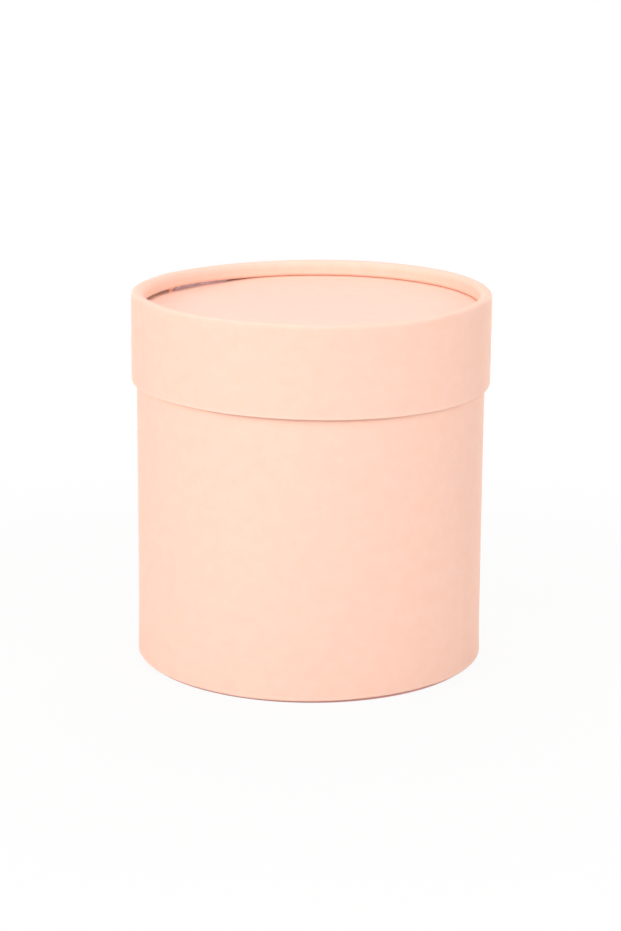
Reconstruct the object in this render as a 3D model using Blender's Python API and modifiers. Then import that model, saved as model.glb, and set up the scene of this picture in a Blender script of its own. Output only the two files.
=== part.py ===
"""A round flower box with a lift-off lid, made of greyboard tubes and discs covered in peach paper.

The lid's tube is curled inwards at the top, over a recessed disc, and slides down over the box's tube until
that disc rests on the mouth. Lengths are in metres and +Z is up. The origin is on the box's axis, on the
surface that it stands on.
"""

import math

import bmesh
import bpy

# Overall sizes
LID_DIAMETER = 0.118
OVERALL_HEIGHT = 0.1224
LID_HEIGHT = 0.0295

# Thicknesses of board and paper
BOX_WALL_BOARD = 0.0015
BOX_BASE_BOARD = 0.0015
LID_WALL_BOARD = 0.0006
LID_TOP_BOARD = 0.0015
COVER_PAPER = 0.0002
LINER_PAPER = 0.0002

# Gaps: a glue line between layers, a seat under a piece that rests, and the lid's slide over the box
GLUE_GAP = 0.0003
SEAT_GAP = 0.0003
SLIDE_CLEARANCE = 0.0003

# The bead that the lid's tube is curled into, out to its cover paper
CURL_RADIUS = 0.0024
CURL_TURN = math.radians(240)

# Folds of the cover paper, and how far it is turned in past each
FOOT_FOLD = 0.0008
MOUTH_FOLD = 0.0004
LID_FOLD = 0.0004
FOOT_TURN_IN = 0.012
MOUTH_TURN_IN = 0.012
LID_TURN_IN = 0.008
BASE_FACING_MARGIN = 0.003

# Fineness of the turned shapes
SEGMENTS = 64
CURL_STEPS = 8
FOLD_STEPS = 2
MERGE_DISTANCE = 0.00001
SHARP_ANGLE = math.radians(30)

# Finishes: a name, a linear colour and a roughness
GREYBOARD = ("greyboard", (0.30, 0.27, 0.24), 0.95)
PEACH_PAPER = ("peach_cover_paper", (1.0, 0.72, 0.58), 0.85)
LINER_WHITE = ("off_white_liner_paper", (0.85, 0.82, 0.77), 0.9)

# Ways that a surface faces in the profile plane; inwards is reached over the top or from below
OUT = 0.0
UP = math.pi / 2
INWARDS = math.pi
DOWN = -math.pi / 2
INWARDS_FROM_BELOW = -math.pi

# Radii of the lid's wall, from its cover paper in to its bore
lid_radius = LID_DIAMETER / 2
lid_board_outer = lid_radius - COVER_PAPER - GLUE_GAP
lid_board_inner = lid_board_outer - LID_WALL_BOARD
lid_lining = lid_board_inner - GLUE_GAP
lid_bore = lid_lining - max(COVER_PAPER, LINER_PAPER)

# Radii of the box's wall, from its cover paper in to its lining
box_radius = lid_bore - SLIDE_CLEARANCE
box_board_outer = box_radius - COVER_PAPER - GLUE_GAP
box_board_inner = box_board_outer - BOX_WALL_BOARD
box_lining = box_board_inner - GLUE_GAP

# Heights at the foot, from the base facing up to the floor inside
wrap_foot = COVER_PAPER + GLUE_GAP
board_foot = wrap_foot + COVER_PAPER + GLUE_GAP
base_board_top = board_foot + BOX_BASE_BOARD
floor_liner_foot = base_board_top + GLUE_GAP

# Heights of the lid, from the curl down through its disc to the box's mouth
lid_foot = OVERALL_HEIGHT - LID_HEIGHT
curl_centre_radius = lid_radius - CURL_RADIUS
curl_centre_height = OVERALL_HEIGHT - CURL_RADIUS
disc_facing_foot = curl_centre_height - CURL_RADIUS - SEAT_GAP - COVER_PAPER
disc_board_foot = disc_facing_foot - GLUE_GAP - LID_TOP_BOARD
disc_liner_foot = disc_board_foot - GLUE_GAP - LINER_PAPER
mouth = disc_liner_foot - SEAT_GAP


def clear_scene():
    """Removes the objects of the startup scene."""
    for leftover in list(bpy.data.objects):
        bpy.data.objects.remove(leftover, do_unlink=True)


def new_collection(name):
    """A collection linked under the scene's own."""
    collection = bpy.data.collections.new(name)
    bpy.context.scene.collection.children.link(collection)
    return collection


def finish_with(piece, finish):
    """Gives a piece its own Principled material, of one colour and with no metal in it."""
    name, colour, roughness = finish
    material = bpy.data.materials.new(f"{piece.name}_{name}")
    material.use_nodes = True
    shader = material.node_tree.nodes["Principled BSDF"]
    shader.inputs["Base Color"].default_value = (*colour, 1.0)
    shader.inputs["Roughness"].default_value = roughness
    shader.inputs["Metallic"].default_value = 0.0
    piece.data.materials.append(material)


def arc(centre, radius, start, end, steps):
    """Points round a centre, from the heading start to the heading end."""
    turns = [start + (end - start) * step / steps for step in range(steps + 1)]
    return [(centre[0] + radius * math.cos(turn), centre[1] + radius * math.sin(turn)) for turn in turns]


def fold(corner, radius, start, end):
    """A square corner between sides that face start and end, rounded by radius if there is any."""
    if radius <= 0:
        return [corner]
    inset_radius = radius * (math.cos(start) + math.cos(end))
    inset_height = radius * (math.sin(start) + math.sin(end))
    return arc((corner[0] - inset_radius, corner[1] - inset_height), radius, start, end, FOLD_STEPS)


def ring(inner, outer, foot, top):
    """The outline of a plain tube's wall, from its outer upper edge down and round."""
    return [(outer, top), (outer, foot), (inner, foot), (inner, top)]


def turned(name, outline, finish, collection):
    """A closed outline at +X turned round the Z axis; it runs down the outer side first."""
    count = len(outline)
    mesh = bpy.data.meshes.new(name)
    edges = [(index, (index + 1) % count) for index in range(count)]
    mesh.from_pydata([(radius, 0.0, height) for radius, height in outline], edges, [])
    piece = bpy.data.objects.new(name, mesh)
    collection.objects.link(piece)
    finish_with(piece, finish)
    screw = piece.modifiers.new("Turn", "SCREW")
    screw.axis = "Z"
    screw.steps = SEGMENTS
    screw.render_steps = SEGMENTS
    screw.use_merge_vertices = True
    screw.merge_threshold = MERGE_DISTANCE
    screw.use_smooth_shade = True
    piece.modifiers.new("Shade by area", "WEIGHTED_NORMAL")
    return piece


def disc(name, radius, foot, thickness, finish, collection):
    """A flat round sheet, from the height foot up."""
    shape = bmesh.new()
    bmesh.ops.create_cone(
        shape, cap_ends=True, segments=SEGMENTS, radius1=radius, radius2=radius, depth=thickness
    )
    mesh = bpy.data.meshes.new(name)
    shape.to_mesh(mesh)
    shape.free()
    mesh.shade_smooth()
    mesh.set_sharp_from_angle(angle=SHARP_ANGLE)
    piece = bpy.data.objects.new(name, mesh)
    piece.location.z = foot + thickness / 2
    collection.objects.link(piece)
    finish_with(piece, finish)
    return piece


def curl(depth, start, end):
    """The curl's arc at a depth under the cover paper's face."""
    centre = (curl_centre_radius, curl_centre_height)
    return arc(centre, CURL_RADIUS - depth, start, end, CURL_STEPS)


def box_wall_board(collection):
    """The greyboard tube of the box, its outer lower edge eased to follow the fold at the foot."""
    ease = FOOT_FOLD - COVER_PAPER - GLUE_GAP
    board_top = mouth - COVER_PAPER - GLUE_GAP
    outline = [(box_board_outer, board_top)]
    outline += fold((box_board_outer, board_foot), ease, OUT, DOWN)
    outline += [(box_board_inner, board_foot), (box_board_inner, board_top)]
    return turned("box_wall_board", outline, GREYBOARD, collection)


def box_wall_wrap(collection):
    """The cover paper of the box: turned in over the mouth, down the wall and in under the base."""
    inner_face = box_lining - COVER_PAPER
    leg_end = mouth - MOUTH_TURN_IN
    tail_end = box_radius - FOOT_TURN_IN
    under_mouth = mouth - COVER_PAPER
    over_foot = wrap_foot + COVER_PAPER
    outline = [(inner_face, leg_end)]
    outline += fold((inner_face, mouth), MOUTH_FOLD, INWARDS, UP)
    outline += fold((box_radius, mouth), MOUTH_FOLD, UP, OUT)
    outline += fold((box_radius, wrap_foot), FOOT_FOLD, OUT, DOWN)
    outline += [(tail_end, wrap_foot), (tail_end, over_foot)]
    outline += fold((box_radius - COVER_PAPER, over_foot), FOOT_FOLD - COVER_PAPER, DOWN, OUT)
    outline += fold((box_radius - COVER_PAPER, under_mouth), MOUTH_FOLD - COVER_PAPER, OUT, UP)
    outline += fold((box_lining, under_mouth), MOUTH_FOLD - COVER_PAPER, UP, INWARDS)
    outline += [(box_lining, leg_end)]
    return turned("box_wall_wrap", outline, PEACH_PAPER, collection)


def box_wall_liner(collection):
    """The lining paper of the box wall, from the base board up to the cover paper's turned-in leg."""
    top = mouth - MOUTH_TURN_IN - SEAT_GAP
    outline = ring(box_lining - LINER_PAPER, box_lining, floor_liner_foot, top)
    return turned("box_wall_liner", outline, LINER_WHITE, collection)


def box_discs(collection):
    """The base board, the lining paper on it and the cover paper under it."""
    facing_radius = box_radius - BASE_FACING_MARGIN
    board_radius = box_board_inner - SEAT_GAP
    liner_radius = box_lining - LINER_PAPER - SEAT_GAP
    return [
        disc("box_base_facing", facing_radius, 0.0, COVER_PAPER, PEACH_PAPER, collection),
        disc("box_base_board", board_radius, board_foot, BOX_BASE_BOARD, GREYBOARD, collection),
        disc("box_floor_liner", liner_radius, floor_liner_foot, LINER_PAPER, LINER_WHITE, collection),
    ]


def lid_wall_board(collection):
    """The greyboard tube of the lid, its upper end curled inwards."""
    face = COVER_PAPER + GLUE_GAP
    ease = LID_FOLD - face
    outline = curl(face, CURL_TURN, OUT)
    outline += fold((lid_board_outer, lid_foot + face), ease, OUT, DOWN)
    outline += fold((lid_board_inner, lid_foot + face), ease, DOWN, INWARDS_FROM_BELOW)
    outline += curl(face + LID_WALL_BOARD, OUT, CURL_TURN)
    return turned("lid_wall_board", outline, GREYBOARD, collection)


def lid_wall_wrap(collection):
    """The cover paper of the lid: round the curl, down the wall and turned in at the lower edge."""
    inner_face = lid_lining - COVER_PAPER
    leg_end = lid_foot + LID_TURN_IN
    over_foot = lid_foot + COVER_PAPER
    outline = curl(0.0, CURL_TURN, OUT)
    outline += fold((lid_radius, lid_foot), LID_FOLD, OUT, DOWN)
    outline += fold((inner_face, lid_foot), LID_FOLD, DOWN, INWARDS_FROM_BELOW)
    outline += [(inner_face, leg_end), (lid_lining, leg_end)]
    outline += fold((lid_lining, over_foot), LID_FOLD - COVER_PAPER, INWARDS_FROM_BELOW, DOWN)
    outline += fold((lid_radius - COVER_PAPER, over_foot), LID_FOLD - COVER_PAPER, DOWN, OUT)
    outline += curl(COVER_PAPER, OUT, CURL_TURN)
    return turned("lid_wall_wrap", outline, PEACH_PAPER, collection)


def lid_wall_liner(collection):
    """The lining paper of the lid's wall, from the cover paper's turned-in leg up to the disc."""
    foot = lid_foot + LID_TURN_IN + SEAT_GAP
    top = disc_liner_foot - SEAT_GAP
    outline = ring(lid_lining - LINER_PAPER, lid_lining, foot, top)
    return turned("lid_wall_liner", outline, LINER_WHITE, collection)


def lid_discs(collection):
    """The lid's disc of board, the cover paper on it and the lining paper under it."""
    radius = lid_board_inner - SEAT_GAP
    return [
        disc("lid_top_liner", radius, disc_liner_foot, LINER_PAPER, LINER_WHITE, collection),
        disc("lid_top_board", radius, disc_board_foot, LID_TOP_BOARD, GREYBOARD, collection),
        disc("lid_top_facing", radius, disc_facing_foot, COVER_PAPER, PEACH_PAPER, collection),
    ]


def lid_carrier(pieces, collection):
    """An empty on the lid's axis of travel, at the seat on the mouth, that carries the lid's pieces."""
    carrier = bpy.data.objects.new("lid_lift", None)
    carrier.location.z = disc_liner_foot
    collection.objects.link(carrier)
    bpy.context.view_layer.update()
    for piece in pieces:
        piece.parent = carrier
        piece.matrix_parent_inverse = carrier.matrix_world.inverted()
    return carrier


def build():
    """Makes the box and its lid, closed."""
    clear_scene()
    parts = new_collection("round_flower_box")
    box_wall_board(parts)
    box_wall_wrap(parts)
    box_wall_liner(parts)
    box_discs(parts)
    lid = [lid_wall_board(parts), lid_wall_wrap(parts), lid_wall_liner(parts)]
    lid += lid_discs(parts)
    lid_carrier(lid, parts)


build()
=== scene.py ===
# %% [markdown]
# A round flower box in peach paper. The real thing is a covered-board box: grey board rolled into a tube,
# dressed in coloured paper outside and off-white paper inside, with a lid whose top edge is curled into a
# bead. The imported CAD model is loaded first. It fixes where every piece is, and it carries the motion. The
# looks are then built round it, piece by piece, and each new piece stands for one CAD node.

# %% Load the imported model
import math
from collections import namedtuple

import bpy
import numpy as np
from mathutils import Matrix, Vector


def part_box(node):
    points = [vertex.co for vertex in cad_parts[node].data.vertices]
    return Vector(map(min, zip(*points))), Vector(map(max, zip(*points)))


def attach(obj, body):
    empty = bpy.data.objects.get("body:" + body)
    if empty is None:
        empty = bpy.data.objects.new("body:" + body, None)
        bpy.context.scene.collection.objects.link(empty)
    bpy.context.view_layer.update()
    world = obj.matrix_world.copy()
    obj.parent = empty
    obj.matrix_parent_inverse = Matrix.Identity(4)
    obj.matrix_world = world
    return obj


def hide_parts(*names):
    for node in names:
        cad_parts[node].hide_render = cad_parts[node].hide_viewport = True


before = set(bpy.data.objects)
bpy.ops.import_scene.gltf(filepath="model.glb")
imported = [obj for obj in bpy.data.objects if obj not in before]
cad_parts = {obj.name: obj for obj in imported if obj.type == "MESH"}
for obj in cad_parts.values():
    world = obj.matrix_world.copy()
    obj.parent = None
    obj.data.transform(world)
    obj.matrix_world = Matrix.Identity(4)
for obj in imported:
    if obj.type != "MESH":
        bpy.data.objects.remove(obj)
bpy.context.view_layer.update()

MM = 0.001
print("nodes", sorted(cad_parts))

# %% [markdown]
# The camera. A product shot like this is taken with a long lens from about a metre away, a little above the
# object. The outlines of the lid and the foot in the photograph fix how far, how high and how tilted it
# stood. The lens is kept in pixels of focal length, because that is what an outline gives, and turned into
# millimetres for Blender's 36 mm sensor, whose width belongs to the longer side of the picture. The two
# angles are radians.

# %% Camera
PICTURE_LONG_SIDE = 931
SENSOR_MM = 36.0
FOCAL_PIXELS = 2612.5
EYE_ASIDE_M = 0.0001
EYE_BACK_M = 0.8399
EYE_HEIGHT_M = 0.2789
LOOK_DOWN = 0.2514
PICTURE_TURN = 0.0078
SEES_TO_M = 20.0

camera = bpy.data.objects.new("camera", bpy.data.cameras.new("camera"))
camera.data.sensor_width = SENSOR_MM
camera.data.lens = FOCAL_PIXELS * SENSOR_MM / PICTURE_LONG_SIDE
camera.data.clip_end = SEES_TO_M
eye = Matrix.Translation((EYE_ASIDE_M, -EYE_BACK_M, EYE_HEIGHT_M))
tilt = Matrix.Rotation(math.pi / 2 - LOOK_DOWN, 4, "X")
turn_in_picture = Matrix.Rotation(PICTURE_TURN, 4, "Z")
camera.matrix_world = eye @ tilt @ turn_in_picture
bpy.context.scene.collection.objects.link(camera)
bpy.context.scene.camera = camera
print("lens in mm", round(camera.data.lens, 2), "looking down by degrees", round(math.degrees(LOOK_DOWN), 2))

# %% [markdown]
# Colours and nodes. A colour is written as the sRGB hex value that the eye would pick from the picture, and
# Blender works in linear light, so one function turns it. A second function adds a shader node, sets its
# properties, and fills its inputs: a plain value goes into the socket, and another node's output is linked.

# %% Colour and node helpers
def linear(hex_colour):
    """sRGB hex to linear RGBA: c / 12.92 up to 0.04045, and ((c + 0.055) / 1.055) to the power 2.4 above."""
    srgb = np.array([int(hex_colour[i:i + 2], 16) for i in (1, 3, 5)]) / 255.0
    light = np.where(srgb <= 0.04045, srgb / 12.92, ((srgb + 0.055) / 1.055) ** 2.4)
    return (*map(float, light), 1.0)


def pick(sockets, key):
    """The socket that is in use under that name, or the one at that place."""
    if isinstance(key, int):
        return sockets[key]
    return next(s for s in sockets if s.enabled and s.name == key)


def add(tree, kind, inputs, output=None, **properties):
    """Adds one node and returns its output. Each input is a plain value, or the output of another node."""
    made = tree.nodes.new("ShaderNode" + kind)
    for name, value in properties.items():
        setattr(made, name, value)
    for key, value in inputs.items():
        if isinstance(value, bpy.types.NodeSocket):
            tree.links.new(value, pick(made.inputs, key))
        else:
            pick(made.inputs, key).default_value = value
    if output:
        return pick(made.outputs, output)
    return next((s for s in made.outputs if s.enabled), None)


def new_finish(name):
    """A material with an empty node tree."""
    finish = bpy.data.materials.new(name)
    finish.use_nodes = True
    finish.node_tree.nodes.clear()
    return finish, finish.node_tree


print("a peach in linear light", [round(v, 3) for v in linear("#FECFBC")])

# %% [markdown]
# The world. The picture's ground is paper-white and almost without shadow. Making it white with strong
# lamps would bleach the box. So the world is white only for rays that come from the camera and for those
# that a glossy surface throws on. For all others it is a dim dome, which softens the shadows.

# %% World
WORLD_LEVEL = 0.20
WHITE = (1.0, 1.0, 1.0, 1.0)

world = bpy.data.worlds.new("white_studio")
world.use_nodes = True
tree = world.node_tree
tree.nodes.clear()
camera_ray = add(tree, "LightPath", {}, "Is Camera Ray")
glossy_ray = add(tree, "LightPath", {}, "Is Glossy Ray")
seen = add(tree, "Math", {0: camera_ray, 1: glossy_ray}, operation="MAXIMUM")
strength = add(tree, "MapRange", {"Value": seen, "To Min": WORLD_LEVEL, "To Max": 1.0})
dome = add(tree, "Background", {"Color": WHITE, "Strength": strength})
add(tree, "OutputWorld", {"Surface": dome})
bpy.context.scene.world = world
bpy.context.scene.view_settings.view_transform = "Standard"
print("world level", WORLD_LEVEL)

# %% [markdown]
# The floor is white for camera rays too. For all others it is pale matt paint that throws light back on the
# wall of the box. Under the box the painted floor shows as it is, dark in the narrow gap below the foot's
# fold. There its paint is given a peach colour, which is painted bounce light: it stands for the light that
# the peach paper throws down into the gap. Round the foot a small share of it still shows, as a faint
# shadow, and fades out, so the floor has no visible edge.

# %% Floor
FLOOR_PAINT = "#DEDCDA"
# The peach of the floor under the box is painted bounce light from the paper above the gap.
GAP_PAINTED_BOUNCE = "#FF9581"
FLOOR_WIDTH_M = 9.0
SHADOW_SHARE = 0.08
FADE_START_M = 0.09
FADE_END_M = 0.32
GAP_SHARE = 0.84
GAP_RADIUS_M = 0.0563
GAP_EDGE_M = 0.0003
GAP_NARROWING = 1.012

painted, tree = new_finish("matt_white_floor_paint")
place = add(tree, "TexCoord", {}, "Object")
far = add(tree, "VectorMath", {0: place}, "Value", operation="LENGTH")
fade = {"From Min": FADE_START_M, "From Max": FADE_END_M, "To Min": SHADOW_SHARE, "To Max": 0.0}
shadow = add(tree, "MapRange", {"Value": far, **fade}, interpolation_type="SMOOTHSTEP")
# The gap closes a little towards the sides of the box.
squeezed = add(tree, "VectorMath", {0: place, 1: (GAP_NARROWING, 1.0, 1.0)}, operation="MULTIPLY")
from_axis = add(tree, "VectorMath", {0: squeezed}, "Value", operation="LENGTH")
edge = {"From Min": GAP_RADIUS_M, "From Max": GAP_RADIUS_M + GAP_EDGE_M, "To Min": 1.0, "To Max": 0.0}
under = add(tree, "MapRange", {"Value": from_axis, **edge})
gap = add(tree, "Math", {0: under, 1: GAP_SHARE}, operation="MULTIPLY")
shown = add(tree, "Math", {0: shadow, 1: gap}, operation="MAXIMUM")
camera_ray = add(tree, "LightPath", {}, "Is Camera Ray")
other_ray = add(tree, "Math", {0: 1.0, 1: camera_ray}, operation="SUBTRACT")
share = add(tree, "Math", {0: other_ray, 1: shown}, operation="MAXIMUM")
# Under the box the paint turns peach: painted bounce light from the paper.
paint_and_bounce = {"A": linear(FLOOR_PAINT), "B": linear(GAP_PAINTED_BOUNCE)}
paint_with_bounce = add(tree, "Mix", {"Factor": under, **paint_and_bounce}, data_type="RGBA")
paint = add(tree, "BsdfDiffuse", {"Color": paint_with_bounce})
glow = add(tree, "Emission", {"Color": WHITE, "Strength": 1.0})
surface = add(tree, "MixShader", {0: share, 1: glow, 2: paint})
add(tree, "OutputMaterial", {"Surface": surface})

half = FLOOR_WIDTH_M / 2
corners = [(-half, -half, 0.0), (half, -half, 0.0), (half, half, 0.0), (-half, half, 0.0)]
floor_mesh = bpy.data.meshes.new("floor")
floor_mesh.from_pydata(corners, [], [(0, 1, 2, 3)])
floor_mesh.materials.append(painted)
floor = bpy.data.objects.new("floor", floor_mesh)
bpy.context.scene.collection.objects.link(floor)
print("share of the painted floor that shows at the foot", SHADOW_SHARE, "and in the gap", GAP_SHARE)

# %% [markdown]
# The lamps. The wall is brightest a little to the left of its middle and falls off gently to both sides,
# the disc is as bright as the wall, and the shadow under the lid's edge is thin. So the light comes from
# soft boxes all round the camera, most of it low, and from one overhead, a little behind, which lights the
# disc and the curl. Two narrow ones stand low behind the box, so that its back isn't left in the dark. The
# low lamps are wide and flat, and their light comes in just steeper than the camera looks, so the shadow
# under the lid's edge is a thin dark line. They don't show in reflections, or the disc would throw them
# back as a white glare. Each lamp is given as the level that it adds to a white sheet that faces it, and
# level 1 renders as white.

# %% Lamps
# Azimuth and elevation in degrees, width and height in metres, and the level.
LAMPS = {
    "low_far_left": (-75.0, 21.0, 0.9, 0.4, 0.30),
    "low_left": (-45.0, 21.0, 0.9, 0.4, 0.265),
    "low_right": (45.0, 21.0, 0.9, 0.4, 0.185),
    "low_far_right": (75.0, 21.0, 0.9, 0.4, 0.13),
    "half_left": (-30.0, 38.0, 0.9, 0.9, 0.19),
    "half_right": (30.0, 38.0, 0.9, 0.9, 0.255),
    "overhead": (180.0, 72.0, 0.9, 0.9, 0.39),
    "behind_left": (-160.0, 4.0, 0.25, 0.25, 0.24),
    "behind_right": (155.0, 4.0, 0.25, 0.25, 0.30),
}
LAMP_DISTANCE_M = 1.6
AIM_HEIGHT_M = 0.06

for lamp_name, (azimuth, elevation, width, height, level) in LAMPS.items():
    light = bpy.data.lights.new(lamp_name, "AREA")
    light.shape = "RECTANGLE"
    light.size = width
    light.size_y = height
    # P watts at d metres light a facing white sheet at the level P / (pi * d) ** 2.
    light.energy = level * (math.pi * LAMP_DISTANCE_M) ** 2
    lamp = bpy.data.objects.new(lamp_name, light)
    aim = Matrix.Translation((0.0, 0.0, AIM_HEIGHT_M))
    swing = Matrix.Rotation(math.radians(azimuth), 4, "Z")
    tilt = Matrix.Rotation(math.radians(90.0 - elevation), 4, "X")
    back = Matrix.Translation((0.0, 0.0, LAMP_DISTANCE_M))
    lamp.matrix_world = aim @ swing @ tilt @ back
    lamp.visible_camera = False
    lamp.visible_glossy = not lamp_name.startswith("low")
    bpy.context.scene.collection.objects.link(lamp)
    print(lamp_name, [round(v, 2) for v in lamp.matrix_world.translation], round(light.energy, 2), "W")

# %% [markdown]
# Paper patterns. Every uncoated paper shows the same things close up: clouds of slightly thicker and
# thinner pulp a few millimetres wide, a rare speck, a tooth of fibres, and slow waves where it took up the
# damp of the paste. They could come from a picture of paper, but noise needs no picture and can be given a
# size. Each pattern's scale is worked out from that size in millimetres, on coordinates in metres.

# %% Paper patterns
PULP_CLOUD_MM = 5.0
CLOUD_NOISE = {"Detail": 3.0, "Roughness": 0.6}
CLOUD_RANGE = {"From Min": 0.3, "From Max": 0.7}
SPECK_SPACING_MM = 12.0
SPECK_RADIUS_MM = 0.25
COCKLE_MM = 16.0
COCKLE_DEPTH_MM = 0.05
COCKLE_DETAIL = 1.0
TOOTH_DETAIL = 2.0


def per_mm(millimetres):
    """The scale at which a pattern on coordinates in metres repeats about every so many millimetres."""
    return 1.0 / (millimetres * MM)


def pulp_clouds(tree, where, thick, thin, size_mm):
    """A colour that drifts between thick and thin pulp in soft clouds of that size."""
    clouds = add(tree, "TexNoise", {"Vector": where, "Scale": per_mm(size_mm), **CLOUD_NOISE})
    spread = add(tree, "MapRange", {"Value": clouds, **CLOUD_RANGE})
    return add(tree, "Mix", {"Factor": spread, "A": linear(thick), "B": linear(thin)}, data_type="RGBA")


def specked(tree, sheet, colour, speck, spacing_mm):
    """The colour with a few specks: one in each cell of a Voronoi pattern, where the distance is small."""
    near = add(tree, "TexVoronoi", {"Vector": sheet, "Scale": per_mm(spacing_mm)}, "Distance")
    radius = SPECK_RADIUS_MM / spacing_mm
    soft_edge = {"From Min": 0.5 * radius, "From Max": radius, "To Min": 1.0, "To Max": 0.0}
    inside = add(tree, "MapRange", {"Value": near, **soft_edge})
    return add(tree, "Mix", {"Factor": inside, "A": colour, "B": linear(speck)}, data_type="RGBA")


def relief(tree, sheet, tooth, tooth_depth_mm):
    """A bump of the tooth, as deep as given, laid over a bump of the slow waves."""
    cockle = add(tree, "TexNoise", {"Vector": sheet, "Scale": per_mm(COCKLE_MM), "Detail": COCKLE_DETAIL})
    waves = add(tree, "Bump", {"Height": cockle, "Distance": COCKLE_DEPTH_MM * MM})
    return add(tree, "Bump", {"Height": tooth, "Distance": tooth_depth_mm * MM, "Normal": waves})


print("pulp clouds of", PULP_CLOUD_MM, "mm have the scale", per_mm(PULP_CLOUD_MM))

# %% [markdown]
# The cover paper is an uncoated dyed paper of about 120 grams per square metre, pasted on the board. It is
# matt with a faint sheen at a flat angle. On the disc and under the base it was pressed flat while it
# dried, and comes out smoother than where it is wrapped round a wall, so it has two finishes. Where it is
# folded the dyed surface opens a little and looks paler. Along the top of the lid's curl that paler colour
# is partly such a fold and partly a painted highlight of the light from above. Real fibres are a few
# hundredths of a millimetre wide, too fine for the picture, so the tooth is drawn at 0.35 mm. The pattern
# lies on the sheet and not in space, so it reads the piece's own map.

# %% Cover paper
PEACH_THICK = "#F9CCB8"
PEACH_THIN = "#FBD1BF"
PEACH_TOOTH = "#F4C0AB"
PEACH_SPECK = "#E5AE96"
# Paler peach where a fold opens. Along the curl's crest it is also a painted highlight.
PEACH_WORN_AND_HIGHLIGHT = "#FFE4D6"
COVER_TOOTH_MM = 0.35
COVER_TOOTH_DEPTH_MM = 0.010
FIBRE_RUN = (1.0, 0.6, 1.0)
# Where the tooth starts and is full, and how much of its colour it takes. In the same way, how a fold opens
# and where the crest's painted highlight shows.
DIP_RANGE = {"From Min": 0.35, "From Max": 0.75, "To Max": 0.22}
WEAR_AND_HIGHLIGHT_PATCHES = {"From Min": 0.3, "From Max": 0.6, "To Min": 0.55, "To Max": 1.0}
WRAPPED_ROUGHNESS = (0.74, 0.92)
PRESSED_ROUGHNESS = (0.38, 0.50)


def cover_paper(name, smoothest, roughest):
    """The dyed paper, with its roughness between the two values along the tooth."""
    finish, tree = new_finish(name)
    sheet = add(tree, "UVMap", {}, uv_map="sheet")
    pulp = pulp_clouds(tree, sheet, PEACH_THICK, PEACH_THIN, PULP_CLOUD_MM)
    with_specks = specked(tree, sheet, pulp, PEACH_SPECK, SPECK_SPACING_MM)
    # The fibres lie mostly along the roll's running direction, so the tooth is a little longer that way.
    grain = add(tree, "VectorMath", {0: sheet, 1: FIBRE_RUN}, operation="MULTIPLY")
    tooth = add(tree, "TexNoise", {"Vector": grain, "Scale": per_mm(COVER_TOOTH_MM), "Detail": TOOTH_DETAIL})
    dips = add(tree, "MapRange", {"Value": tooth, **DIP_RANGE})
    toothed = add(tree, "Mix", {"Factor": dips, "A": with_specks, "B": linear(PEACH_TOOTH)}, data_type="RGBA")
    # A fold opens in patches, more where the tooth is high, and the crest's painted highlight comes in the
    # same patches.
    wear_and_highlight = add(tree, "Attribute", {}, "Fac", attribute_name="wear_and_highlight")
    patchy = add(tree, "MapRange", {"Value": tooth, **WEAR_AND_HIGHLIGHT_PATCHES})
    wear_and_highlight_share = add(tree, "Math", {0: wear_and_highlight, 1: patchy}, operation="MULTIPLY")
    colour = add(tree, "Mix", {"Factor": wear_and_highlight_share, "A": toothed, "B": linear(PEACH_WORN_AND_HIGHLIGHT)}, data_type="RGBA")
    normal = relief(tree, sheet, tooth, COVER_TOOTH_DEPTH_MM)
    matt = add(tree, "MapRange", {"Value": tooth, "To Min": smoothest, "To Max": roughest})
    paper = add(tree, "BsdfPrincipled", {"Base Color": colour, "Roughness": matt, "Normal": normal})
    add(tree, "OutputMaterial", {"Surface": paper})
    print(name, "has", len(tree.nodes), "nodes")
    return finish


wrapped_paper = cover_paper("dyed_paper_wrapped", *WRAPPED_ROUGHNESS)
flat_paper = cover_paper("dyed_paper_pressed_flat", *PRESSED_ROUGHNESS)

# %% [markdown]
# The board under the paper is grey chipboard, pressed from waste paper. It shows only where the lid's disc
# sits a little low at the back and the curled edge doesn't reach it. Its eye-catchers are the flecks: short
# light and dark fibres from old print, about a millimetre long, in a cool grey ground that takes no shine
# at all. Board is a solid, so its pattern is worked out in space, on Object coordinates. Its fibres lie
# level, so the flecks are flatter than they are wide.

# %% Grey chipboard
BOARD_DARK = "#B3999F"
BOARD_PALE = "#CEB3B7"
BOARD_FLECK_DARK = "#8A7A81"
BOARD_FLECK_PALE = "#E2D3D2"
BOARD_CLOUD_MM = 2.5
FLECK_MM = 1.1
FLECK_FLATNESS = (1.0, 1.0, 1.6)
FLECK_NOISE = {"Detail": 2.0, "Roughness": 0.7}
DARK_RANGE = {"From Min": 0.36, "From Max": 0.3}
PALE_RANGE = {"From Min": 0.64, "From Max": 0.7}
FIBRE_MM = 0.4
FIBRE_DETAIL = 3.0
FIBRE_DEPTH_MM = 0.03
BOARD_ROUGHNESS = 0.95

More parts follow.
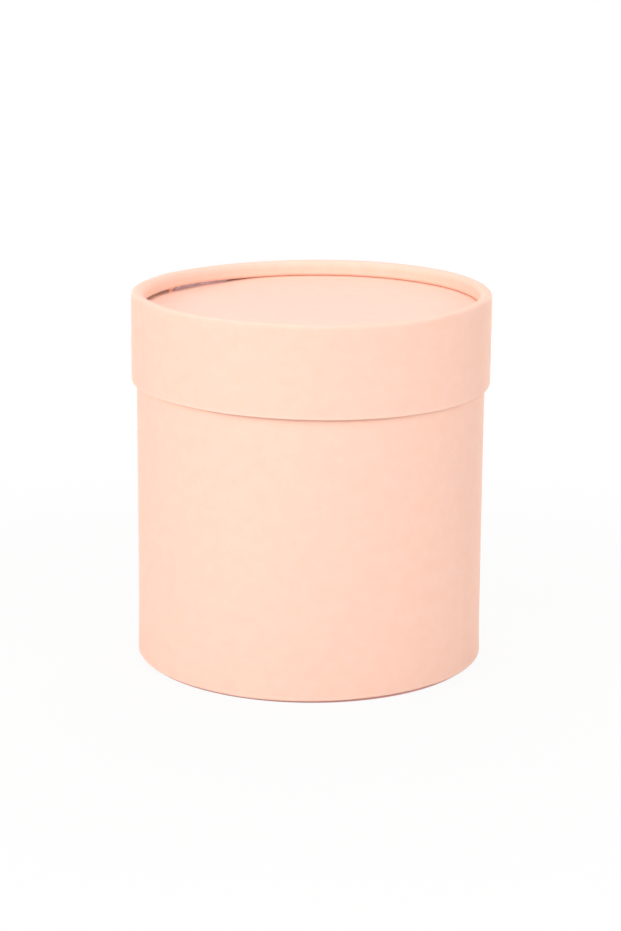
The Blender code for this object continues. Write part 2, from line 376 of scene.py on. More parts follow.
chipboard, tree = new_finish("grey_chipboard")
solid = add(tree, "TexCoord", {}, "Object")
ground = pulp_clouds(tree, solid, BOARD_DARK, BOARD_PALE, BOARD_CLOUD_MM)
lying = add(tree, "VectorMath", {0: solid, 1: FLECK_FLATNESS}, operation="MULTIPLY")
flecks = add(tree, "TexNoise", {"Vector": lying, "Scale": per_mm(FLECK_MM), **FLECK_NOISE})
dark_ones = add(tree, "MapRange", {"Value": flecks, **DARK_RANGE})
pale_ones = add(tree, "MapRange", {"Value": flecks, **PALE_RANGE})
darker = add(tree, "Mix", {"Factor": dark_ones, "A": ground, "B": linear(BOARD_FLECK_DARK)}, data_type="RGBA")
colour = add(tree, "Mix", {"Factor": pale_ones, "A": darker, "B": linear(BOARD_FLECK_PALE)}, data_type="RGBA")
fibres = add(tree, "TexNoise", {"Vector": solid, "Scale": per_mm(FIBRE_MM), "Detail": FIBRE_DETAIL})
normal = add(tree, "Bump", {"Height": fibres, "Distance": FIBRE_DEPTH_MM * MM})
board = add(tree, "BsdfPrincipled", {"Base Color": colour, "Roughness": BOARD_ROUGHNESS, "Normal": normal})
add(tree, "OutputMaterial", {"Surface": board})
print(chipboard.name, "has", len(tree.nodes), "nodes")

# %% [markdown]
# Inside, the board is lined with plain uncoated paper, off-white and smoother than the cover. It has the
# same soft clouds, fewer than one speck in a square inch, and a fine tooth.

# %% Lining paper
LINING_THICK = "#F1EDE4"
LINING_THIN = "#F7F4EC"
LINING_SPECK = "#D9CFBF"
LINING_TOOTH_MM = 0.3
LINING_TOOTH_DEPTH_MM = 0.006
LINING_ROUGHNESS = (0.7, 0.88)

lining_paper, tree = new_finish("off_white_lining_paper")
sheet = add(tree, "UVMap", {}, uv_map="sheet")
pulp = pulp_clouds(tree, sheet, LINING_THICK, LINING_THIN, PULP_CLOUD_MM)
colour = specked(tree, sheet, pulp, LINING_SPECK, 2 * SPECK_SPACING_MM)
tooth = add(tree, "TexNoise", {"Vector": sheet, "Scale": per_mm(LINING_TOOTH_MM), "Detail": TOOTH_DETAIL})
normal = relief(tree, sheet, tooth, LINING_TOOTH_DEPTH_MM)
smoothest, roughest = LINING_ROUGHNESS
matt = add(tree, "MapRange", {"Value": tooth, "To Min": smoothest, "To Max": roughest})
paper = add(tree, "BsdfPrincipled", {"Base Color": colour, "Roughness": matt, "Normal": normal})
add(tree, "OutputMaterial", {"Surface": paper})
print(lining_paper.name, "has", len(tree.nodes), "nodes")

# %% [markdown]
# Shapes. Every piece of this box is a figure of revolution with small faults in it: a lap in the paper, a
# dent, a nick. A lathe tool makes a perfect one, which then has to be pushed about. Here the outline is an
# array with one row for each angle instead, so a fault is only a number that changes with the angle. All
# outlines are in millimetres, as (radius, height), and run anticlockwise in that plane, which makes the
# faces look outwards.

# %% Outlines
SAME_PLACE = 1e-6


def line(start, end, steps):
    """Points from start to end at t = (1 - cos(pi k / n)) / 2: closer at both ends, to shade flat."""
    t = 0.5 - 0.5 * np.cos(np.linspace(0.0, np.pi, steps + 1))[:, None]
    return np.array(start) * (1.0 - t) + np.array(end) * t


def arc(centre, radius, first, last, steps):
    """Points at centre + radius * (cos t, sin t), with t from first to last in degrees."""
    t = np.radians(np.linspace(first, last, steps + 1))
    return np.stack([centre[0] + radius * np.cos(t), centre[1] + radius * np.sin(t)], -1)


def joined(*parts):
    """The parts end to end, with each meeting point kept once."""
    path = np.concatenate(parts)
    apart = np.linalg.norm(np.diff(path, axis=0), axis=1) > SAME_PLACE
    return path[np.append(True, apart)]


def carried(path, angles):
    """The same path once for each angle."""
    return np.repeat(path[None], len(angles), 0)


def layer(path, front, back):
    """A sheet along a path: the path moved along its normals by front, then back again moved by back.
    The tangent at a point is the mean of the two unit edges that meet there. The normal is to its right."""
    edges = np.diff(path, axis=-2)
    edges /= np.linalg.norm(edges, axis=-1, keepdims=True)
    inner = edges[..., :-1, :] + edges[..., 1:, :]
    tangent = np.concatenate([edges[..., :1, :], inner, edges[..., -1:, :]], -2)
    tangent /= np.linalg.norm(tangent, axis=-1, keepdims=True)
    normal = np.stack([tangent[..., 1], -tangent[..., 0]], -1)
    return np.concatenate([path + normal * front, (path + normal * back)[..., ::-1, :]], -2)


print("a quarter arc:", arc((0, 0), 1, 0, 90, 3).round(3).tolist())

# %% [markdown]
# Shares and angles. A fault comes in softly: it is a share that goes from 0 to 1 over a stretch of heights
# or angles. The angles run once round from a lap in the paper, whose two ends lie 0.04 degrees apart, and
# they are closer together where a fault is small.

# %% Shares and angles
LAP_STEP = 0.04


def ease(x):
    """0 below 0, 1 above 1, and 3x^2 - 2x^3 between."""
    x = np.clip(x, 0.0, 1.0)
    return x * x * (3.0 - 2.0 * x)


def between(heights, low, low_fade, high, high_fade):
    """1 between two heights, eased to 0 at each of them over its fade, all in millimetres."""
    return ease((heights - low) / low_fade) * ease((high - heights) / high_fade)


def band(values, middle, width):
    """exp(-((v - middle) / width)^2): 1 at the middle, and almost nothing two widths away."""
    return np.exp(-((values - middle) / width) ** 2)


def turn_from(angles, place):
    """How far each angle is from a place, in degrees from -180 to 180."""
    return (angles - place + 180.0) % 360.0 - 180.0


def read_off(table, angles, place):
    """The table's value at each angle, in straight lines between its entries, at degrees from a place."""
    return np.interp(turn_from(angles, place), list(table), list(table.values()))


def around(start, step, *finer):
    """Angles in degrees once round from start. Each (middle, half_width, step) in finer adds closer ones."""
    parts = [np.arange(0.0, 360.0 - LAP_STEP, step), [360.0 - LAP_STEP]]
    for middle, half_width, fine_step in finer:
        parts.append((np.arange(middle - half_width, middle + half_width, fine_step) - start) % 360.0)
    turn = np.unique(np.round(np.concatenate(parts), 3))
    turn = turn[turn <= 360.0 - LAP_STEP]
    return start + turn[np.append(True, np.diff(turn) > 0.5 * LAP_STEP)]


print("eased quarters:", ease(np.linspace(0.0, 1.0, 5)).round(3).tolist())

# %% [markdown]
# From outline to mesh. A ring is a grid that closes both ways: once round the axis, and along its outline.
# A disc is a grid whose outline starts and ends on the axis, so its first and last places shrink to one
# point each, and the faces there are triangles. Each face corner gets a place on the sheet in metres: round
# the tube and along the paper for a ring, and plain x and y for a disc, which is how a flat sheet lies.

# %% Turned meshes
SHARP_DEGREES = 35.0


def turned_points(angles, outline):
    """x = r cos a, y = r sin a, z = h, in metres."""
    a = np.radians(angles)[:, None]
    r = outline[..., 0] * MM
    return np.stack([r * np.cos(a), r * np.sin(a), outline[..., 1] * MM], -1)


def new_piece(name, points, faces, sheet_places, wear_and_highlight):
    """A mesh object at the origin, smooth but for its paper edges, with the sheet map and the share of paler
    folds and painted highlight.
    """
    mesh = bpy.data.meshes.new(name)
    mesh.from_pydata(points.tolist(), [], faces)
    mesh.uv_layers.new(name="sheet").uv.foreach_set("vector", sheet_places.astype(np.float32).ravel())
    wear_and_highlight_share = mesh.attributes.new("wear_and_highlight", "FLOAT", "POINT")
    wear_and_highlight_share.data.foreach_set("value", wear_and_highlight.astype(np.float32).ravel())
    mesh.polygons.foreach_set("use_smooth", np.ones(len(faces), bool))
    mesh.set_sharp_from_angle(angle=math.radians(SHARP_DEGREES))
    piece = bpy.data.objects.new(name, mesh)
    bpy.context.scene.collection.objects.link(piece)
    size = np.ptp(points, axis=0) / MM
    print(name, "faces", len(faces), "size in mm", size.round(2).tolist())
    return piece


def ring(name, angles, outline, wear_and_highlight=None):
    """A closed outline carried round the axis."""
    rounds, places = outline.shape[:2]
    number = np.arange(rounds * places).reshape(rounds, places)
    next_round = np.roll(number, -1, 0)
    faces = np.stack([number, next_round, np.roll(next_round, -1, 1), np.roll(number, -1, 1)], -1)
    round_metres = np.radians(np.append(angles, angles[0] + 360.0) - angles[0]) * outline[..., 0].max() * MM
    middle = outline.mean(0)
    lengths = np.linalg.norm(np.roll(middle, -1, 0) - middle, axis=1)
    along_metres = np.append(0.0, np.cumsum(lengths)) * MM
    u, v = np.meshgrid(round_metres, along_metres, indexing="ij")
    grid = np.stack([u, v], -1)
    spots = np.stack([grid[:-1, :-1], grid[1:, :-1], grid[1:, 1:], grid[:-1, 1:]], -2)
    wear_and_highlight = np.zeros((rounds, places)) if wear_and_highlight is None else wear_and_highlight
    points = turned_points(angles, outline)
    return new_piece(name, points.reshape(-1, 3), faces.reshape(-1, 4).tolist(), spots.reshape(-1, 2), wear_and_highlight)


def disc(name, angles, outline):
    """An outline from the axis to the axis carried round it. Its two end places become one point each."""
    rounds, places = outline.shape[:2]
    points = turned_points(angles, outline)
    number = np.arange(rounds * (places - 2)).reshape(rounds, places - 2)
    next_round = np.roll(number, -1, 0)
    first, last = number.size, number.size + 1
    walls = np.stack([number[:, :-1], next_round[:, :-1], next_round[:, 1:], number[:, 1:]], -1)
    walls = walls.reshape(-1, 4)
    below = np.stack([np.full(rounds, first), next_round[:, 0], number[:, 0]], -1)
    above = np.stack([number[:, -1], next_round[:, -1], np.full(rounds, last)], -1)
    vertices = np.concatenate([points[:, 1:-1].reshape(-1, 3), points[0, :1], points[0, -1:]])
    faces = [*walls.tolist(), *below.tolist(), *above.tolist()]
    spots = vertices[np.concatenate([walls.ravel(), below.ravel(), above.ravel()]), :2]
    return new_piece(name, vertices, faces, spots, np.zeros(len(vertices)))


def dress(piece, body, node, finish):
    """The piece gets its finish, moves with the body, and stands for the CAD node."""
    piece.data.materials.append(finish)
    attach(piece, body)
    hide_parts(node)


print("an edge is sharp from", SHARP_DEGREES, "degrees")

# %% [markdown]
# Sizes. All radii and heights come from the CAD nodes, so the looks can't drift from the model. A few
# numbers are added here, which the boxes of the nodes don't tell: the sheets' thicknesses, the turned-in
# strips and the folds. The rest say where this box differs from its model, because the model leaves room
# between its pieces: the lid is a little tighter, its fold hangs lower, and its disc sits deeper.

# %% Sizes from the CAD nodes
PAPER = 0.2
LINING = 0.16
GLUE_LINE = 0.02
LID_BOARD = 0.6
LID_FOLD = 0.3
LID_FOLD_SLACK = 0.3
LID_TIGHT = 0.18
LID_LOW_TOP = 0.1
LID_TURN_IN = 8.0
CURL = 2.3
DISC_SINK = 0.12
MOUTH_FOLD = 0.4
MOUTH_TURN_IN = 12.0
FOOT_FOLD = 0.7
FOOT_SAG = 0.1
FOOT_FLARE = 0.3
FOOT_TURN_IN = 12.0
Reach = namedtuple("Reach", "radius low high")


def reach(node):
    """Outer radius, lowest and highest place of a CAD node, in millimetres."""
    low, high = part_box(node)
    return Reach(high.x / MM, low.z / MM, high.z / MM)


lid_wrap = reach("lid_wall_wrap")
lid_r = lid_wrap.radius - LID_TIGHT
lid_foot = lid_wrap.low - LID_FOLD_SLACK
lid_top = lid_wrap.high - LID_LOW_TOP
curl_r = lid_r - CURL
curl_z = lid_top - CURL
lid_inner_r = reach("lid_wall_liner").radius - PAPER
lid_facing = reach("lid_top_facing")
disc_under = lid_facing.low - DISC_SINK
disc_face = lid_facing.high - DISC_SINK
box_r, box_foot, box_mouth = reach("box_wall_wrap")
box_lining_r = reach("box_wall_liner").radius
box_inner_r = box_lining_r - PAPER
print("lid", lid_r, lid_foot, lid_top, "box", box_r, box_foot, box_mouth)
print("disc", lid_facing.radius, disc_under, disc_face)

# %% [markdown]
# The faults of this very box, as the picture shows them. At the back left the disc sits up to 0.9 mm low
# and the curl doesn't come all the way down, so a dark slot opens between them. In one stretch of it the
# grey board of the curl hangs down unpapered, and a scrap of cover paper hangs beside it. The curl is
# smaller at the left and the right than elsewhere, and the rim stands up there by up to 0.7 mm. The lid is
# bent like a saddle by 0.4 mm, high at the back right and the front left. The edges of the lid and the foot
# aren't quite level, and no tube is quite round: the walls wander by a few hundredths of a millimetre. Each
# table below gives millimetres, or a share of the curl, at degrees that were read from the picture, and a
# fault runs in straight lines between them.

# %% Faults
BACK = 90.0
FRONT = 270.0
# At degrees left of the back: how low the disc's edge sits, and how far the curl's tucked end stands up.
SLOT_DEPTHS = {
    17.0: 0.0, 21.0: 0.08, 26.0: 0.26, 31.0: 0.49, 38.0: 0.72, 43.0: 0.77,
    48.0: 0.82, 56.0: 0.86, 62.0: 0.63, 72.0: 0.57, 82.0: 0.42, 100.0: 0.0,
}
CURL_LIFTS = {
    28.0: 0.0, 38.0: 0.17, 43.0: 0.26, 52.0: 0.30, 55.0: 0.42, 57.0: 0.51, 59.7: 0.48,
    61.7: 0.27, 68.0: 0.21, 74.0: 0.23, 80.0: 0.28, 90.0: 0.15, 100.0: 0.0,
}
# At degrees right of the front: the share that the curl is smaller, and how far rim and edges stand up.
CURL_PINCHES = {
    -102.0: 0.0, -92.0: 0.12, -80.0: 0.15, -65.0: 0.15, -57.0: 0.05, -48.0: 0.0,
    25.0: 0.0, 45.0: 0.12, 60.0: 0.20, 105.0: 0.20, 120.0: 0.12, 140.0: 0.0,
}
RIM_RISES = {
    -95.0: 0.0, -80.0: 0.15, -66.0: 0.25, -58.0: 0.08, -50.0: 0.0,
    28.0: 0.0, 42.0: 0.38, 56.0: 0.72, 72.0: 0.72, 84.0: 0.45, 98.0: 0.0,
}
LID_EDGE_RISES = {
    -125.0: 0.0, -105.0: 0.30, -85.0: 0.35, -70.0: 0.28, -57.0: 0.10, -47.0: 0.13, -30.0: 0.0,
    60.0: 0.0, 80.0: 0.12, 95.0: 0.12, 115.0: 0.0,
}
FOOT_RISES = {
    -125.0: 0.0, -105.0: 0.35, -90.0: 0.48, -75.0: 0.48, -60.0: 0.30, -40.0: 0.22, -20.0: 0.04,
    0.0: 0.14, 22.0: 0.36, 40.0: 0.44, 60.0: 0.30, 80.0: 0.28, 110.0: 0.0,
}
# Degrees left of the back where the bare board and the scrap of paper begin, are full, fade and end.
BARE_BOARD = (29.0, 33.0, 56.6, 57.2)
PAPER_SCRAP = (57.0, 57.6, 59.4, 60.0)
LID_WARP = 0.43
# Depth in mm, waves once round, and turn of the waves in radians for each mm of height.
WANDER = ((0.04, 2.0, 0.0), (0.025, 3.0, 1.0 / 25.0), (0.015, 7.0, -1.0 / 14.0))
LAP_WIDTH = 8.0
LAP_HEIGHT = 0.12
LAP_FADE_SHARE = 0.25
LID_LAP_AT = 144.2
BOX_LAP_AT = 72.0
NICK_AT = 243.1


def stretch(angles, begin, full, fade, end):
    """1 from full to fade, 0 before begin and after end, and eased between, in degrees left of the back."""
    left = turn_from(angles, BACK)
    return ease((left - begin) / (full - begin)) * (1.0 - ease((left - fade) / (end - fade)))


def lap_at(angles, lap_place, radius):
    """The height of the overlap: a cut edge at its start, and a soft end where the under layer stops."""
    past = (angles - lap_place) % 360.0
    width = math.degrees(LAP_WIDTH / radius)
    return LAP_HEIGHT * (1.0 - ease((past - width) / (LAP_FADE_SHARE * width)))


def wander(angles, heights, turn):
    """Out of round, in mm: the sum over WANDER of depth * cos(waves * a + twist * h), a turned on by turn."""
    a = np.radians(angles)[:, None] + turn
    return sum(depth * np.cos(waves * a + twist * heights) for depth, waves, twist in WANDER)


def warped(angles, outline):
    """Bends the lid like a saddle: lifts a place by the warp times (r / R)^2 sin(2a), where R is lid_r."""
    outline[..., 1] += LID_WARP * (outline[..., 0] / lid_r) ** 2 * np.sin(2.0 * np.radians(angles))[:, None]
    return outline


LID_STEP = 1.0
# Middle, half width and step in degrees: round the slot, round the scrap of paper, and round the nick.
FINER = ((BACK + 50.0, 34.0, 0.5), (BACK + 58.0, 2.6, 0.1), (NICK_AT, 0.8, 0.08))
lid_angles = around(LID_LAP_AT, LID_STEP, *FINER)
slot_depth = read_off(SLOT_DEPTHS, lid_angles, BACK)
curl_lift = read_off(CURL_LIFTS, lid_angles, BACK)
opening = slot_depth + curl_lift
print("angles round the lid", len(lid_angles), "slot open by mm", round(float(opening.max()), 2))

# %% [markdown]
# The curl. It isn't a true circle: its outer shoulder is squarer, and inside it comes straight down before
# it tucks under, which keeps its inner side in the light. Its path is drawn once for the paper and once for
# the board. The faults are then moves of the finished path: it is pinched, lifted, or its last places hang
# down.

# %% Curl of the lid
TUCK = 1.25
SHOULDER_POWER = 0.62
PINCH_REACH = 10.0
TAIL = 4
COVER_TUCKS_TO = 275.0
COVER_TUCK_STEPS = 10
curl_inner_r = lid_r - 2.0 * CURL
tuck_z = disc_face + TUCK


def shoulder(steps):
    """The outer quarter of the curl, squarer than a circle: its radius times cos t and sin t to a power."""
    t = np.linspace(0.0, 0.5 * np.pi, steps + 1)
    quarter = np.stack([np.cos(t), np.sin(t)], -1).clip(0.0) ** SHOULDER_POWER
    return np.array((curl_r, curl_z)) + CURL * quarter


def curl_path(end, tuck_steps):
    """The curl from the wall: its shoulder, a quarter circle, straight down, and an arc that tucks under."""
    return joined(
        shoulder(14),
        arc((curl_r, curl_z), CURL, 90.0, 180.0, 11),
        line((curl_inner_r, curl_z), (curl_inner_r, tuck_z), 4),
        arc((curl_inner_r + TUCK, tuck_z), TUCK, 180.0, end, tuck_steps),
    )


def pinched(angles, path):
    """Makes the curl smaller, and lets the rim stand up. Above the curl's middle each place moves by a share
    of its way to the lid's outer top edge. Below the middle the move upwards fades out, inside at the disc,
    and on the wall within PINCH_REACH."""
    share = read_off(CURL_PINCHES, angles, FRONT)[:, None]
    rise = read_off(RIM_RISES, angles, FRONT)[:, None]
    radii, heights = path[..., 0], path[..., 1]
    still = np.where(radii < curl_r, disc_face, curl_z - PINCH_REACH)
    follows = np.clip((heights - still) / (curl_z - still), 0.0, 1.0)
    up = np.where(heights > curl_z, lid_top - heights, CURL * follows)
    out = (lid_r - radii) * (heights > disc_face - 0.5 * PAPER)
    return path + np.stack([share * out, share * up + rise * follows], -1)


def lifted(path):
    """Raises the inner side of the curl, from nothing at its middle to the whole lift from the tuck down."""
    share = np.clip((curl_z - path[..., 1]) / (curl_z - tuck_z), 0.0, 1.0)
    path[..., 1] += curl_lift[:, None] * share * (path[..., 0] < curl_r)
    return path


def hang_down(path, length, slope):
    """Bends the last places of the path down by length mm at each angle, and outwards by slope times that."""
    drop = length[:, None] * np.linspace(0.0, 1.0, TAIL + 1)[1:]
    path[:, -TAIL:, 1] -= drop
    path[:, -TAIL:, 0] += slope * drop
    return path


curl_places = len(curl_path(COVER_TUCKS_TO, COVER_TUCK_STEPS))
print("places along the curl", curl_places, "its inner radius", round(curl_inner_r, 2))

# %% [markdown]
# The lid's cover paper is one sheet. It starts inside the lid as a turned-in strip, goes round the lower
# edge, up the wall and over the curl, and ends under the curl on the disc. The path below follows its dyed
# face in that order. Its lower edge isn't level: it stands up a little at the left and less at the right.
# The nick is a burr of the fold, half a millimetre wide, that hangs down and catches the light.

# %% Lid cover paper
FOLD_KEPT = 1.0
LID_WALL_FADE = 4.0
LID_WALL_TURN = 0.4
EDGE_RISE_FADE = 3.0
SCRAP_CLEAR = 0.05
SCRAP_SLOPE = 0.5
NICK_WIDTH_DEGREES = 0.28
NICK_DROP = 0.22
NICK_OUT = 0.12
NICK_REACH_IN = 1.0
# The share that opens, the height of its middle over the edge, and its width in mm. On the crest this paler
# band is partly a fold that opens and partly a painted highlight.
FOLD_WEAR = (0.25, 0.25, 0.35)
CREST_WEAR_AND_HIGHLIGHT = (0.15, 0.0, 0.5)
FOLD_WEAR_REACH_IN = 0.5


def wear_and_highlight_at(path, edge, share, over, width):
    """How far the dyed face is paler along a fold, and on the crest also a painted highlight: the share, in a
    band over its edge.
    """
    return share * band(path[:, 1], edge + over, width)


def face_only(wear_and_highlight_bands, angles):
    """The paler folds and painted highlight on the face of a sheet, and none on its back, at every angle."""
    return carried(np.append(wear_and_highlight_bands, np.zeros(len(wear_and_highlight_bands))), angles)


turn_in_top = lid_foot + LID_TURN_IN
lid_path = joined(
    line((lid_inner_r, turn_in_top), (lid_inner_r, lid_foot + LID_FOLD), 6),
    arc((lid_inner_r + LID_FOLD, lid_foot + LID_FOLD), LID_FOLD, 180.0, 270.0, 5),
    line((lid_inner_r + LID_FOLD, lid_foot), (lid_r - LID_FOLD, lid_foot), 3),
    arc((lid_r - LID_FOLD, lid_foot + LID_FOLD), LID_FOLD, 270.0, 360.0, 6),
    line((lid_r, lid_foot + LID_FOLD), (lid_r, curl_z), 14),
    curl_path(COVER_TUCKS_TO, COVER_TUCK_STEPS),
)
path = pinched(lid_angles, carried(lid_path, lid_angles))
on_wall = between(lid_path[:, 1], lid_foot + FOLD_KEPT, LID_WALL_FADE, curl_z + FOLD_KEPT, LID_WALL_FADE)
on_wall *= lid_path[:, 0] > lid_r - LID_FOLD
path[..., 0] += wander(lid_angles, path[..., 1], LID_WALL_TURN) * on_wall
edge_rise = read_off(LID_EDGE_RISES, lid_angles, FRONT)
path[..., 1] += edge_rise[:, None] * np.exp((lid_foot - lid_path[:, 1]) / EDGE_RISE_FADE)
path = hang_down(lifted(path), (opening - SCRAP_CLEAR) * stretch(lid_angles, *PAPER_SCRAP), SCRAP_SLOPE)
nick = band(turn_from(lid_angles, NICK_AT), 0.0, NICK_WIDTH_DEGREES)[:, None]
at_fold = band(lid_path[:, 1], lid_foot, LID_FOLD) * (lid_path[:, 0] > lid_r - NICK_REACH_IN)
path[..., 1] -= NICK_DROP * nick * at_fold
path[..., 0] += NICK_OUT * nick * at_fold
path = warped(lid_angles, path)
outline = layer(path, lap_at(lid_angles, LID_LAP_AT, lid_r)[:, None, None], -PAPER)
wear_and_highlight_bands = wear_and_highlight_at(lid_path, lid_foot, *FOLD_WEAR) * (lid_path[:, 0] > lid_r - FOLD_WEAR_REACH_IN)
# Along the crest the band is partly paper that opens and partly a painted highlight of the overhead light.
wear_and_highlight_bands += wear_and_highlight_at(lid_path, lid_top, *CREST_WEAR_AND_HIGHLIGHT)
lid_cover = ring("lid_cover_paper", lid_angles, outline, face_only(wear_and_highlight_bands, lid_angles))
dress(lid_cover, "lid", "lid_wall_wrap", wrapped_paper)

# %% [markdown]
# Under the paper the lid's tube is 0.6 mm board that runs with it: straight up the wall and round the curl.
# It is laid from the paper's back to the depth of its own CAD node. At the back left its last few
# millimetres haven't tucked under. They hang down to the disc, and that grey strip is what the picture
# shows in the slot. Beside the strip the board is drawn back under the lifted paper, so it doesn't show
# there.

# %% Lid board
BOARD_TUCKS_TO = 262.0
BARE_OVERLAP = 0.15
DRAWN_BACK = 0.4
DRAWN_SLOPE = -0.8
FULL_LIFT = 0.25
lid_tube = reach("lid_wall_board")
lid_board_back = lid_r - lid_tube.radius + LID_BOARD
board_path = joined(line((lid_r, lid_tube.low), (lid_r, curl_z), 8), curl_path(BOARD_TUCKS_TO, 8))
path = lifted(pinched(lid_angles, carried(board_path, lid_angles)))
hanging = stretch(lid_angles, *BARE_BOARD)
path = hang_down(path, hanging * (opening + BARE_OVERLAP), 0.0)
drawn_back = DRAWN_BACK * (1.0 - hanging) * np.minimum(curl_lift / FULL_LIFT, 1.0)
path = warped(lid_angles, hang_down(path, -drawn_back, DRAWN_SLOPE))
lid_board = ring("lid_board_tube", lid_angles, layer(path, -PAPER - GLUE_LINE, -lid_board_back))
dress(lid_board, "lid", "lid_wall_board", chipboard)

# %% [markdown]
# The disc that closes the lid is a stack: dyed paper on top, 1.5 mm board, lining paper below. It was
# pushed up against the curl from inside. Only its upper side follows the low edge at the back left, by the
# dent worked out above, which fades out 26 mm in from the edge, so the dyed face bends down there without a
# crease. The last 2 mm, hidden under the curl, turn up again.

# %% Lid disc
DENT_WIDTH = 26.0
PLATE_EDGE = 2.0
TURN_UP_SHARE = 0.75
TURN_UP_WIDTH = 1.8
PASTE = 0.01
DISC_STEP = 1.25
DENT_STEPS = 26
# The board's lowest half millimetre stays flat. The paper lies over that, and all of it bends.
UNBENT = 0.5
disc_angles = around(0.0, DISC_STEP, (BACK + 50.0, 50.0, 0.6))


def plate(radius, low, high, steps, edge_drop=0.0):
    """The outline of a flat disc from the axis below to the axis above. edge_drop lowers its edge."""
    inner = radius - PLATE_EDGE
    under = joined(line((0.0, low), (inner, low), 3), line((inner, low), (radius, low - edge_drop), 3))
    over = joined(line((radius, high - edge_drop), (inner, high), 5), line((inner, high), (0.0, high), steps))
    return joined(under, over)


def dented(angles, outline, above):
    """Lowers all places over a height by the slot's depth, from nothing at the inner end of the dent to all
    of it at the plate's edge, and warps them with the lid. The edge turns up again by a share of that depth.
    The places below the height stay flat on the box's mouth."""
    out = outline[..., 0] - lid_facing.radius
    near_edge = ease((out + DENT_WIDTH) / (DENT_WIDTH - PLATE_EDGE))
    near_edge *= 1.0 - TURN_UP_SHARE * ease((out + PLATE_EDGE) / TURN_UP_WIDTH)
    bent = warped(angles, outline.copy())
    bent[..., 1] -= read_off(SLOT_DEPTHS, angles, BACK)[:, None] * near_edge
    return np.where(outline[..., 1:] > above, bent, outline)


face = plate(lid_facing.radius, disc_under, disc_face, DENT_STEPS)
outline = dented(disc_angles, carried(face, disc_angles), disc_under - UNBENT)
disc_paper = disc("lid_disc_paper", disc_angles, outline)
dress(disc_paper, "lid", "lid_top_facing", flat_paper)

stiff_node = reach("lid_top_board")
stiff = plate(stiff_node.radius, stiff_node.low, disc_under - PASTE, DENT_STEPS)
outline = dented(disc_angles, carried(stiff, disc_angles), stiff_node.low + UNBENT)
disc_board = disc("lid_disc_board", disc_angles, outline)
dress(disc_board, "lid", "lid_top_board", chipboard)

under_node = reach("lid_top_liner")
outline = carried(plate(under_node.radius, under_node.low, stiff_node.low - PASTE, 4), disc_angles)
disc_lining = disc("lid_disc_lining", disc_angles, outline)
dress(disc_lining, "lid", "lid_top_liner", lining_paper)

# %% [markdown]
# The wall linings are pasted in last. Each laps over the end of the cover paper's turned-in strip, so there
# the off-white sheet steps inwards by its own thickness. The path runs downwards, which puts its face
# towards the axis. The box's lining also has its own lap, where the two ends of the strip meet.

# %% Wall linings
LAP_OVER = 2.4
STEP_ABOVE = 0.5
STEP_BELOW = 0.3
INTO_FLOOR = 0.1
LINING_LAP_AT = 200.0
LINING_STEP = 1.25
lining_angles = around(LINING_LAP_AT, LINING_STEP)
lining_lap = lap_at(lining_angles, LINING_LAP_AT, box_lining_r)[:, None, None]
floor_node = reach("box_floor_liner")
box_turn_in = box_mouth - MOUTH_TURN_IN

lid_lining_path = joined(
    line((lid_inner_r, under_node.low + LID_WARP), (lid_inner_r, turn_in_top + STEP_ABOVE), 8),
    line((lid_inner_r, turn_in_top + STEP_ABOVE), (lid_inner_r - LINING, turn_in_top - STEP_BELOW), 4),
    line((lid_inner_r - LINING, turn_in_top - STEP_BELOW), (lid_inner_r - LINING, turn_in_top - LAP_OVER), 3),
)
path = warped(lining_angles, carried(lid_lining_path, lining_angles))
lid_lining = ring("lid_wall_lining", lining_angles, layer(path, 0.0, -LINING))
dress(lid_lining, "lid", "lid_wall_liner", lining_paper)

box_lining_path = joined(
    line((box_inner_r - LINING, box_turn_in + LAP_OVER), (box_inner_r - LINING, box_turn_in + STEP_BELOW), 3),
    line((box_inner_r - LINING, box_turn_in + STEP_BELOW), (box_inner_r, box_turn_in - STEP_ABOVE), 4),
    line((box_inner_r, box_turn_in - STEP_ABOVE), (box_inner_r, floor_node.low - INTO_FLOOR), 16),
)
path = carried(box_lining_path, lining_angles)
box_lining = ring("box_wall_lining", lining_angles, layer(path, lining_lap, -LINING))
dress(box_lining, "box", "box_wall_liner", lining_paper)

# %% [markdown]
# The box's cover paper starts under the base as a turned-in margin, goes round the foot, up the wall, over
# the mouth and down inside. Under the base a flat sheet has to lie on a smaller circle than it was cut for,
# so it puckers into pleats. They are narrow ridges at uneven distances, and they die out at the foot's
# fold. All that paper also makes the fold bulge down and out a little, so that only a dark hairline is left
# between it and the table, and the line is wider where the foot stands up. The lid slides over the top of
# the wall, so the wall stays round there, and the lap is pressed flat.

# %% Box cover paper
PLEATS = 46
PLEAT_DEPTH = 0.14
PLEAT_SHARPNESS = 7
PLEAT_FADE = 2.5
SAG_WIDTH = 2.7
FLARE_FADE = 9.0
BOX_STEP = 0.6
BOX_WALL_TURN = 2.1
BOX_WALL_FADE = 5.0
UNDER_LID_FADE = 14.0
PRESSED_LAP_SHARE = 0.55
PRESSED_FROM = 5.0
PRESSED_FADE = 4.0
FOOT_WEAR = (0.2, 0.6, 0.4)
FOOT_WEAR_REACH_IN = 0.3
MOUTH_WEAR = (0.8, 0.0, 0.2)
HAIR = 0.01
box_angles = around(BOX_LAP_AT, BOX_STEP)
turn_in_r = box_r - FOOT_TURN_IN
foot_low = box_foot - FOOT_SAG

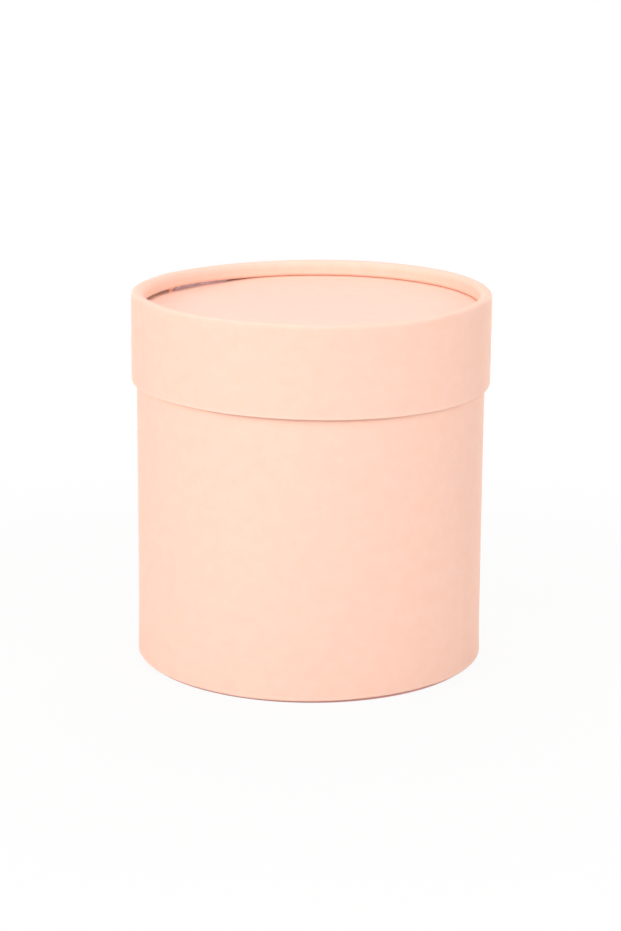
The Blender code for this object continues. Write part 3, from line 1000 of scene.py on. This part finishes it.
box_path = joined(
    line((turn_in_r, box_foot), (box_r - SAG_WIDTH, box_foot), 7),
    line((box_r - SAG_WIDTH, box_foot), (box_r - FOOT_FOLD, foot_low), 4),
    arc((box_r - FOOT_FOLD, foot_low + FOOT_FOLD), FOOT_FOLD, 270.0, 360.0, 8),
    line((box_r, foot_low + FOOT_FOLD), (box_r, box_mouth - MOUTH_FOLD), 16),
    arc((box_r - MOUTH_FOLD, box_mouth - MOUTH_FOLD), MOUTH_FOLD, 0.0, 90.0, 5),
    line((box_r - MOUTH_FOLD, box_mouth), (box_inner_r + MOUTH_FOLD, box_mouth), 2),
    arc((box_inner_r + MOUTH_FOLD, box_mouth - MOUTH_FOLD), MOUTH_FOLD, 90.0, 180.0, 5),
    line((box_inner_r, box_mouth - MOUTH_FOLD), (box_inner_r, box_turn_in), 6),
)
# The base board presses the foot out: by its flare times e to the power of minus the height over the fade.
near_foot = ease((box_path[:, 0] - box_r + SAG_WIDTH) / (SAG_WIDTH - FOOT_FOLD))
near_foot *= np.exp((foot_low - box_path[:, 1]) / FLARE_FADE)
box_path[:, 0] += FOOT_FLARE * near_foot
path = carried(box_path, box_angles)
path[..., 1] += read_off(FOOT_RISES, box_angles, FRONT)[:, None] * near_foot
free_wall = between(box_path[:, 1], box_foot + FOLD_KEPT, BOX_WALL_FADE, lid_foot - FOLD_KEPT, UNDER_LID_FADE)
free_wall *= box_path[:, 0] > box_r - 0.5 * PAPER
path[..., 0] += wander(box_angles, path[..., 1], BOX_WALL_TURN) * free_wall
# The pleats are 0.5 + 0.5 cos(n a + 1.7 sin 3a + 0.9 sin(7a + 1)) to a power, which leaves thin ridges.
a = np.radians(box_angles)[:, None]
uneven = PLEATS * a + 1.7 * np.sin(3.0 * a) + 0.9 * np.sin(7.0 * a + 1.0)
ridges = (0.5 + 0.5 * np.cos(uneven)) ** PLEAT_SHARPNESS
under_base = ease((box_r - FOOT_FOLD - box_path[:, 0]) / PLEAT_FADE) * (box_path[:, 1] < box_foot + HAIR)
path[..., 1] -= PLEAT_DEPTH * ridges * under_base
lap_share = 1.0 - PRESSED_LAP_SHARE * ease((box_path[:, 1] - lid_foot + PRESSED_FROM) / PRESSED_FADE)
lap = lap_at(box_angles, BOX_LAP_AT, box_r)[:, None] * lap_share
outline = layer(path, lap[..., None], -PAPER)
wear_and_highlight_bands = wear_and_highlight_at(box_path, foot_low, *FOOT_WEAR) * (box_path[:, 0] > box_r - FOOT_WEAR_REACH_IN)
wear_and_highlight_bands += wear_and_highlight_at(box_path, box_mouth, *MOUTH_WEAR)
box_cover = ring("box_cover_paper", box_angles, outline, face_only(wear_and_highlight_bands, box_angles))
dress(box_cover, "box", "box_wall_wrap", wrapped_paper)

# %% [markdown]
# What is left of the box is plain: the board tube between cover and lining, the board disc of the base, the
# lining on the floor, and a disc of cover paper under the base. That last one bends up at its rim to meet
# the turned-in margin, and it is what the box stands on.

# %% Box board, floor and base
PLAIN_STEP = 1.5
FLOOR_CLEAR = 0.05
BASE_RIM_RISE = 0.24
TUBE_COARSER = 3
box_tube = reach("box_wall_board")
tube_angles = box_angles[::TUBE_COARSER]
path = carried(line((box_r, box_tube.low), (box_r, box_tube.high), 6), tube_angles)
path[:, 0, 1] += read_off(FOOT_RISES, tube_angles, FRONT)
outline = layer(path, -PAPER - GLUE_LINE, box_lining_r - box_r + GLUE_LINE)
box_board = ring("box_board_tube", tube_angles, outline)
dress(box_board, "box", "box_wall_board", chipboard)

plain_angles = around(0.0, PLAIN_STEP)
base_node = reach("box_base_board")
base_board = disc("box_board_base", plain_angles, carried(plate(*base_node, 4), plain_angles))
dress(base_board, "box", "box_base_board", chipboard)

floor_plate = plate(box_inner_r - FLOOR_CLEAR, base_node.high + GLUE_LINE, floor_node.high, 8)
floor_lining = disc("box_floor_lining", plain_angles, carried(floor_plate, plain_angles))
dress(floor_lining, "box", "box_floor_liner", lining_paper)

stand_plate = plate(*reach("box_base_facing"), 8, -BASE_RIM_RISE)
base_paper = disc("box_base_paper", plain_angles, carried(stand_plate, plain_angles))
dress(base_paper, "box", "box_base_facing", flat_paper)
